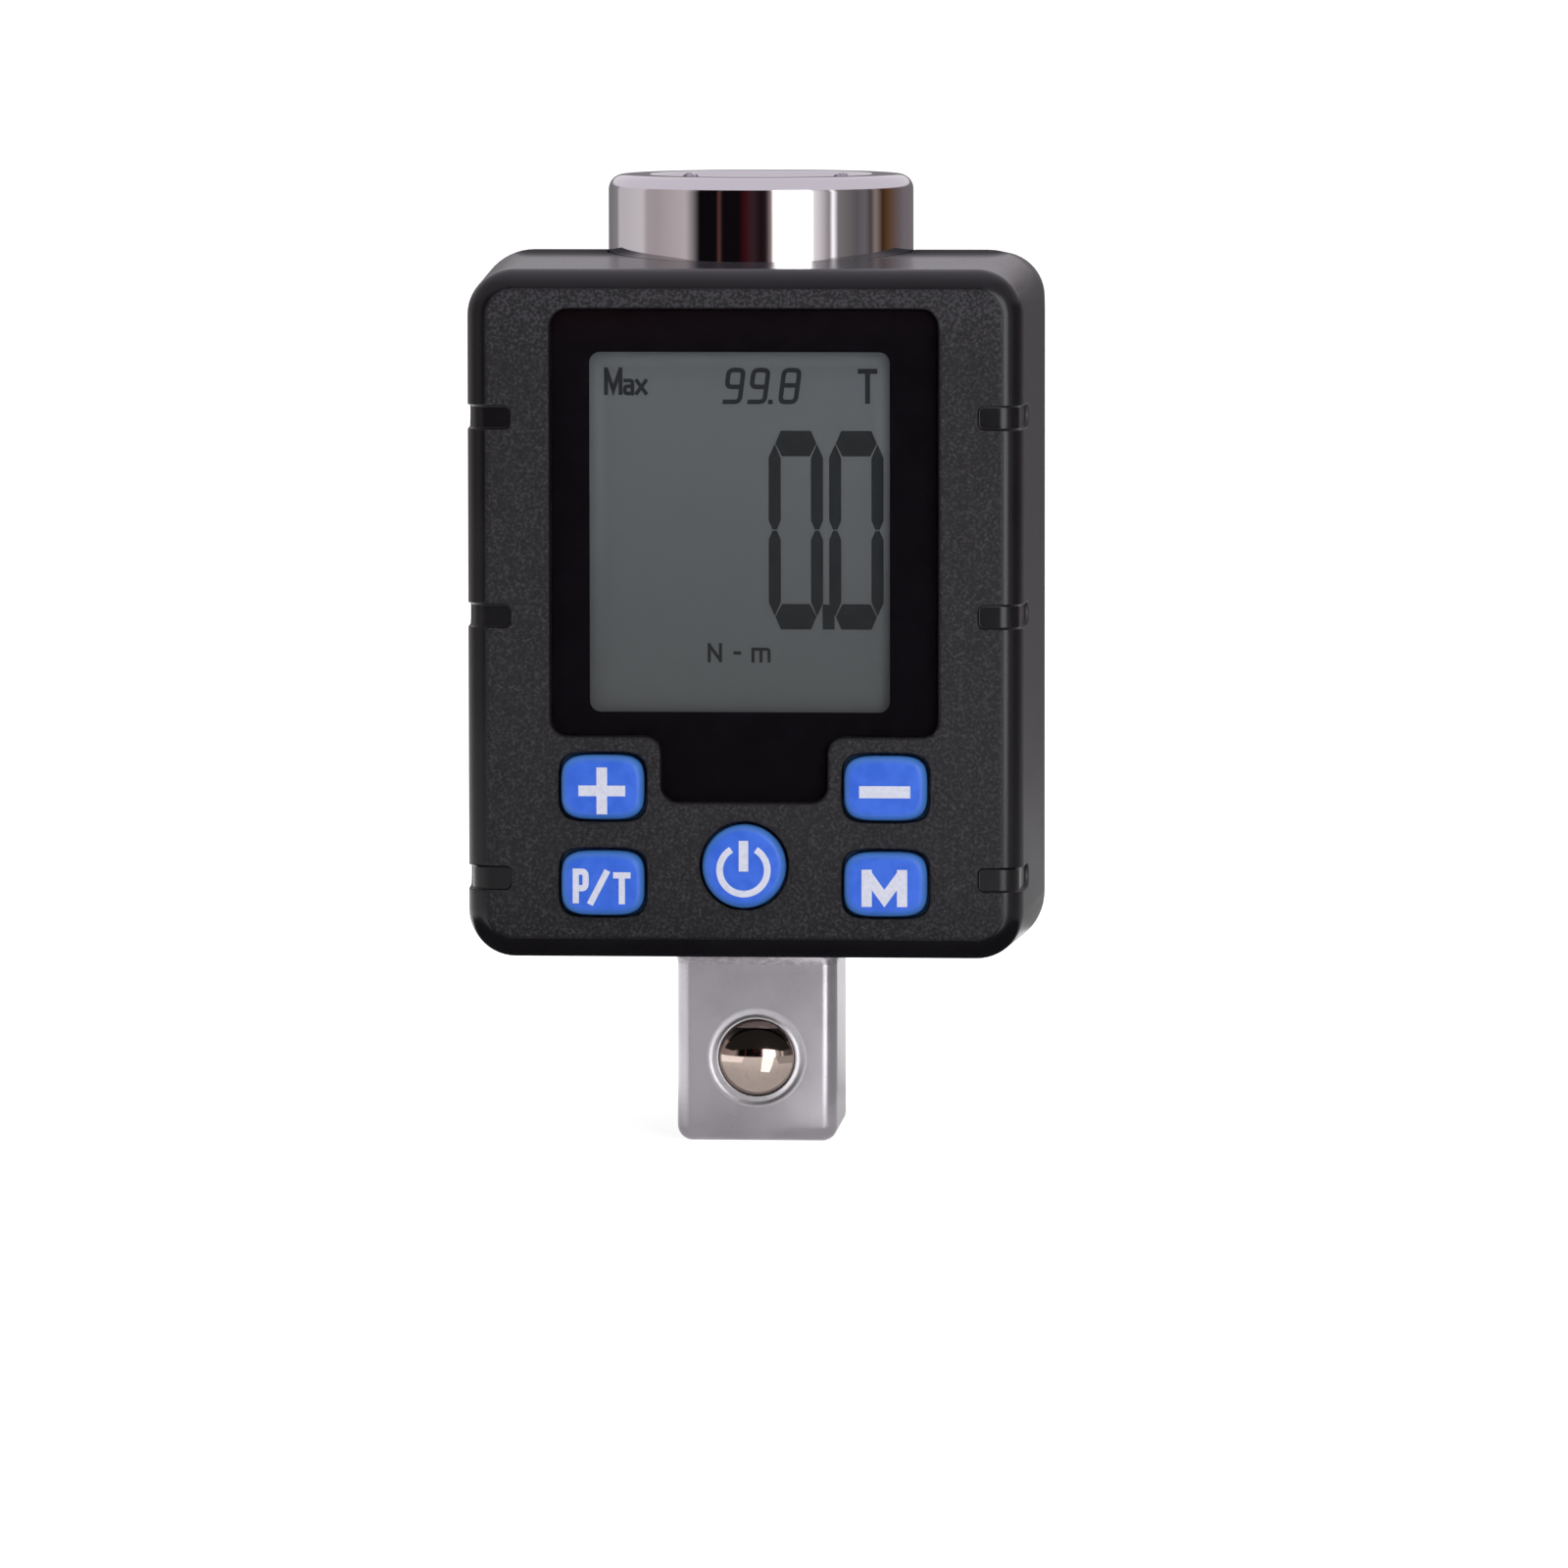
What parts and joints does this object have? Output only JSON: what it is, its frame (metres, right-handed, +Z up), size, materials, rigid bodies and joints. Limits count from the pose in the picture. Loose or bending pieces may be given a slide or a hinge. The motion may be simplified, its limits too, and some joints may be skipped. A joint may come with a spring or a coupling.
{
  "type": "digital torque adapter",
  "caption": "Digital torque adapter: a square drive shaft through a boxy plastic housing with a display, blue keys and a sliding battery door.",
  "frame": {"origin": "centre of the square drive's tip face, on the drive axis", "axes": "+Z up the drive axis from the square drive to the socket head, -Y out of the display, +X to the right of someone who reads it"},
  "size_m": [0.045, 0.0412, 0.0765],
  "materials": {
    "housing_plastic": "matte",
    "window_acrylic": "gloss",
    "mask_film": "gloss",
    "display_glass": "satin",
    "frame_plastic": "matte",
    "contact_rubber": "matte",
    "clear_plastic": "gloss",
    "board_laminate": "satin",
    "chip_plastic": "satin",
    "connector_plastic": "satin",
    "gold_contact": "satin",
    "mat_rubber": "matte",
    "key_rubber": "satin",
    "shaft_chrome": "polished",
    "ball_steel": "polished",
    "spring_steel": "satin",
    "gauge_film": "satin",
    "cell_jacket": "gloss",
    "contact_nickel": "satin",
    "lead_rubber": "matte",
    "screw_steel": "satin"
  },
  "bodies": {
    "housing": {"front_cover": "housing_plastic", "rear_cover": "housing_plastic", "display_window": "window_acrylic", "window_mask": "mask_film", "lcd_panel": "display_glass", "lcd_frame": "frame_plastic", "lcd_strips": "contact_rubber", "light_pipe": "clear_plastic", "circuit_board": "board_laminate", "board_chips": "chip_plastic", "board_connector": "connector_plastic", "buzzer": "chip_plastic", "indicator_leds": "clear_plastic", "key_pads": "gold_contact", "key_mat": "mat_rubber", "drive_shaft": "shaft_chrome", "detent_spring": "spring_steel", "strain_gauges": "gauge_film", "gauge_ribbon": "gauge_film", "battery_cells": "cell_jacket", "battery_springs": "spring_steel", "cell_contacts": "contact_nickel", "series_contact": "contact_nickel", "battery_leads": "lead_rubber", "case_screws": "screw_steel", "board_screws": "screw_steel"},
    "battery_door": {"battery_door": "housing_plastic"},
    "plus_key": {"plus_key": "key_rubber"},
    "minus_key": {"minus_key": "key_rubber"},
    "mode_key": {"mode_key": "key_rubber"},
    "memory_key": {"memory_key": "key_rubber"},
    "power_key": {"power_key": "key_rubber"},
    "detent_ball": {"detent_ball": "ball_steel"}
  },
  "joints": [
    {"name": "plus_key_press", "type": "slide", "parent": "housing", "child": "plus_key", "axis": [0, 1, 0], "range_m": [0, 0.0008], "stiffness_N_per_m": 1200, "springref_m": -0.0005},
    {"name": "minus_key_press", "type": "slide", "parent": "housing", "child": "minus_key", "axis": [0, 1, 0], "range_m": [0, 0.0008], "stiffness_N_per_m": 1200, "springref_m": -0.0005},
    {"name": "mode_key_press", "type": "slide", "parent": "housing", "child": "mode_key", "axis": [0, 1, 0], "range_m": [0, 0.0008], "stiffness_N_per_m": 1200, "springref_m": -0.0005},
    {"name": "memory_key_press", "type": "slide", "parent": "housing", "child": "memory_key", "axis": [0, 1, 0], "range_m": [0, 0.0008], "stiffness_N_per_m": 1200, "springref_m": -0.0005},
    {"name": "power_key_press", "type": "slide", "parent": "housing", "child": "power_key", "axis": [0, 1, 0], "range_m": [0, 0.0008], "stiffness_N_per_m": 1200, "springref_m": -0.0005},
    {"name": "detent_ball_push", "type": "slide", "parent": "housing", "child": "detent_ball", "axis": [0, 1, 0], "range_m": [0, 0.00125], "stiffness_N_per_m": 3000, "springref_m": -0.001, "deforming": ["detent_spring"]},
    {"name": "battery_door_slide", "type": "slide", "parent": "housing", "child": "battery_door", "axis": [0, 0, 1], "range_m": [0, 0.04]}
  ]
}
